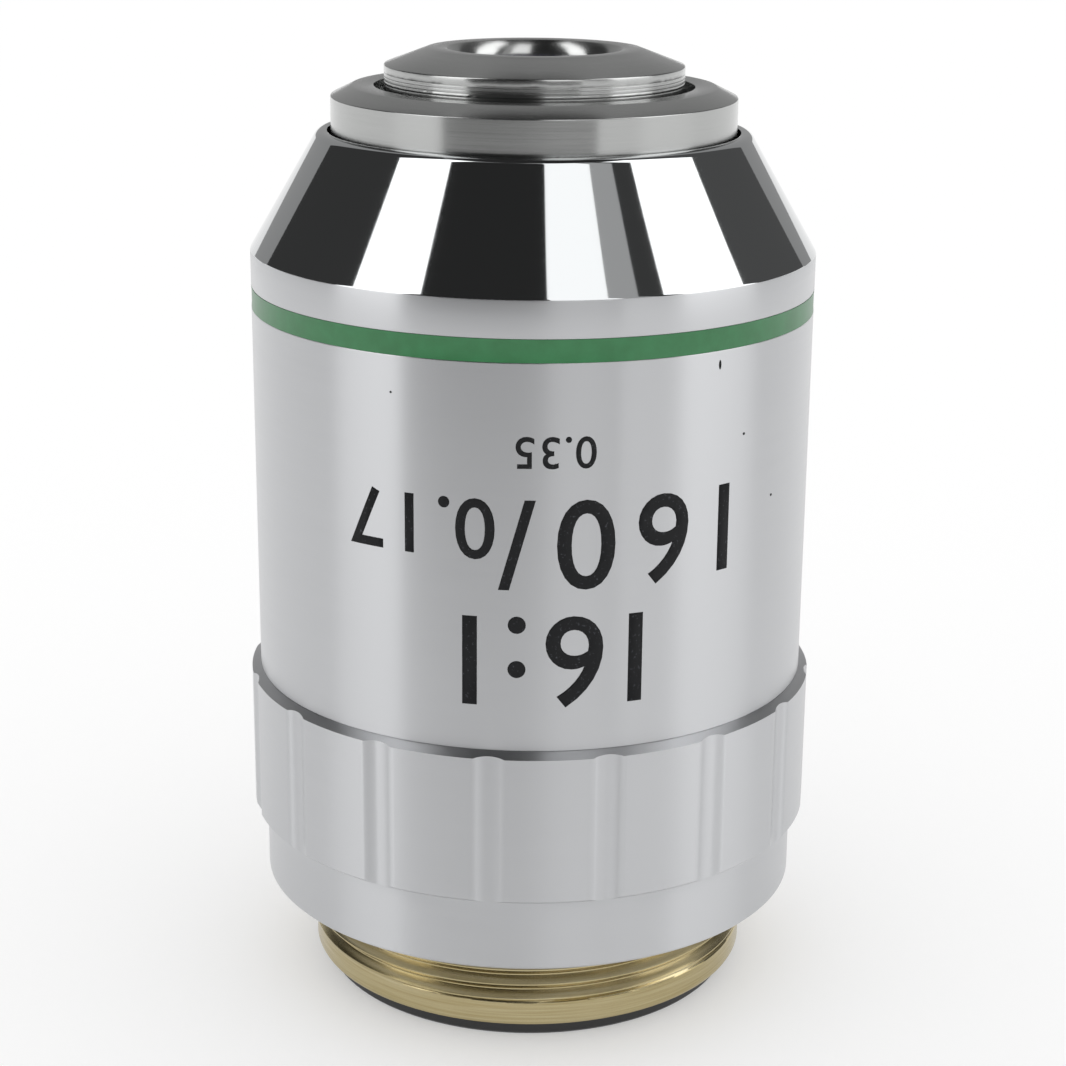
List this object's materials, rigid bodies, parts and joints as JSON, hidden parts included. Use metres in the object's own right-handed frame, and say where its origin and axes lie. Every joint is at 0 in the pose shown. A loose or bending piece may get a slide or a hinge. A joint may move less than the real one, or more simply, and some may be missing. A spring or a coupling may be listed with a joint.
{
  "type": "microscope objective",
  "caption": "Chromed microscope objective with a fluted grip, colour band, polished cone, spring-backed sliding nose and brass mounting thread.",
  "frame": {"origin": "centre of the mounting shoulder, where the thread meets it, on the optical axis", "axes": "+Z along the optical axis from the mounting thread to the front lens; -Y is the side with the figures"},
  "size_m": [0.0258, 0.0258, 0.0425],
  "materials": {
    "chromed_brass": "satin chrome plate with fine turning lines, polished on the cone",
    "turned_chrome": "chrome plate over fine turned rings",
    "brass": "bare turned brass",
    "black_anodised": "matt black anodised",
    "blackened_brass": "chemically blackened, matt",
    "green_enamel": "glossy enamel wiped flush",
    "spring_steel": "drawn spring steel",
    "screw_steel": "turned steel",
    "optical_glass": "polished and coated"
  },
  "bodies": {
    "housing": {"grip_base": "chromed_brass", "outer_sleeve": "chromed_brass", "colour_band": "green_enamel", "mounting_thread": "brass", "rear_ring": "black_anodised", "guide_screw": "screw_steel", "return_spring": "spring_steel"},
    "nose_barrel": {"lens_barrel": "chromed_brass", "front_cell": "turned_chrome", "front_lens": "optical_glass", "front_lens_ring": "blackened_brass", "second_lens": "optical_glass", "second_lens_ring": "blackened_brass", "front_doublet_cell": "blackened_brass", "front_crown_lens": "optical_glass", "front_flint_lens": "optical_glass", "front_doublet_ring": "blackened_brass", "front_spacer": "black_anodised", "rear_doublet_cell": "blackened_brass", "rear_crown_lens": "optical_glass", "rear_flint_lens": "optical_glass", "rear_doublet_ring": "blackened_brass", "aperture_stop": "black_anodised", "rear_spacer": "black_anodised", "rear_lens_cell": "blackened_brass", "rear_lens": "optical_glass", "rear_clamp_ring": "blackened_brass"}
  },
  "joints": [
    {"name": "nose_slide", "type": "slide", "parent": "housing", "child": "nose_barrel", "axis": [0, 0, 1], "range_m": [-0.0025, 0], "stiffness_N_per_m": 800, "springref_m": 0.0045, "deforming": ["return_spring"]}
  ]
}
